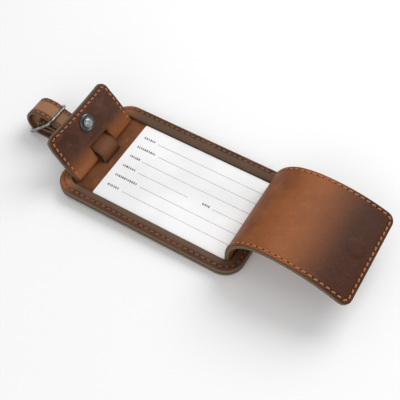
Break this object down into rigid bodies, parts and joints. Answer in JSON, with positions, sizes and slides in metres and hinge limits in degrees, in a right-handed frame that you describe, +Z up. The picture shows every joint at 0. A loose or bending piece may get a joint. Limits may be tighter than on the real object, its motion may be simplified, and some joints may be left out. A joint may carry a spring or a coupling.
{
  "type": "luggage tag",
  "caption": "Leather luggage tag, opened: address card in a stitched window frame, long privacy flap, short snap flap and a short strap with a centre-bar buckle.",
  "frame": {"origin": "centre of the whole opened tag's footprint, on the ground", "axes": "+X along the tag towards the long flap's free end, strap loop at -X; +Y across the tag; +Z up"},
  "size_m": [0.209, 0.07, 0.0313],
  "materials": {
    "tan_leather": "satin",
    "dark_leather": "satin",
    "raw_leather": "matte",
    "thread": "matte",
    "card": "matte",
    "steel": "satin",
    "nickel": "satin"
  },
  "bodies": {
    "tag_body": {"back_panel": "raw_leather", "floor_lining": "tan_leather", "window_frame": "tan_leather", "frame_thread": "thread", "long_flap_root": "tan_leather", "short_flap_root": "tan_leather", "strap_bight": "tan_leather", "strap_loop": "tan_leather", "strap_buckle_end": "tan_leather"},
    "card": {"address_card": "card"},
    "long_flap_crease": {"long_flap_face_crease": "tan_leather", "long_flap_shell_crease": "dark_leather"},
    "long_flap_curl": {"long_flap_face_curl": "tan_leather", "long_flap_shell_curl": "dark_leather"},
    "long_flap_arch": {"long_flap_face_arch": "tan_leather", "long_flap_shell_arch": "dark_leather"},
    "long_flap_tail": {"long_flap_face_tail": "tan_leather", "long_flap_shell_tail": "dark_leather", "snap_socket": "nickel", "snap_socket_cap": "steel"},
    "short_flap": {"short_flap_face": "dark_leather", "short_flap_shell": "tan_leather", "short_flap_thread": "thread", "snap_stud": "nickel", "snap_stud_cap": "steel"},
    "buckle": {"buckle_frame": "steel"}
  },
  "joints": [
    {"name": "long_flap_fold", "type": "hinge", "parent": "tag_body", "child": "long_flap_crease", "pos_m": [0.03724, 0, 0.00536], "axis": [0, -1, 0], "range_deg": [0, 102.65]},
    {"name": "long_flap_curl_bend", "type": "hinge", "parent": "long_flap_crease", "child": "long_flap_curl", "pos_m": [0.04117, 0, 0.02025], "axis": [0, -1, 0], "range_deg": [0, 39.6]},
    {"name": "long_flap_arch_bend", "type": "hinge", "parent": "long_flap_curl", "child": "long_flap_arch", "pos_m": [0.05254, 0, 0.02786], "axis": [0, -1, 0], "range_deg": [0, 34.4]},
    {"name": "long_flap_tail_bend", "type": "hinge", "parent": "long_flap_arch", "child": "long_flap_tail", "pos_m": [0.08325, 0, 0.02667], "axis": [0, -1, 0], "range_deg": [0, 30.55]},
    {"name": "short_flap_fold", "type": "hinge", "parent": "tag_body", "child": "short_flap", "pos_m": [-0.05393, 0, 0.00755], "axis": [0, 1, 0], "range_deg": [0, 99]},
    {"name": "buckle_swing", "type": "hinge", "parent": "tag_body", "child": "buckle", "pos_m": [-0.09427, 0, 0.00951], "axis": [0, 1, 0], "range_deg": [-2, 4]},
    {"name": "card_slide", "type": "slide", "parent": "tag_body", "child": "card", "axis": [0.9998, 0, -0.0212], "range_m": [-0.0035, 0.0005]}
  ],
  "couplings": [
    {"joint": "long_flap_curl_bend", "follows": "long_flap_fold", "ratio": 0.3857},
    {"joint": "long_flap_arch_bend", "follows": "long_flap_fold", "ratio": 0.3351},
    {"joint": "long_flap_tail_bend", "follows": "long_flap_fold", "ratio": 0.2976}
  ]
}
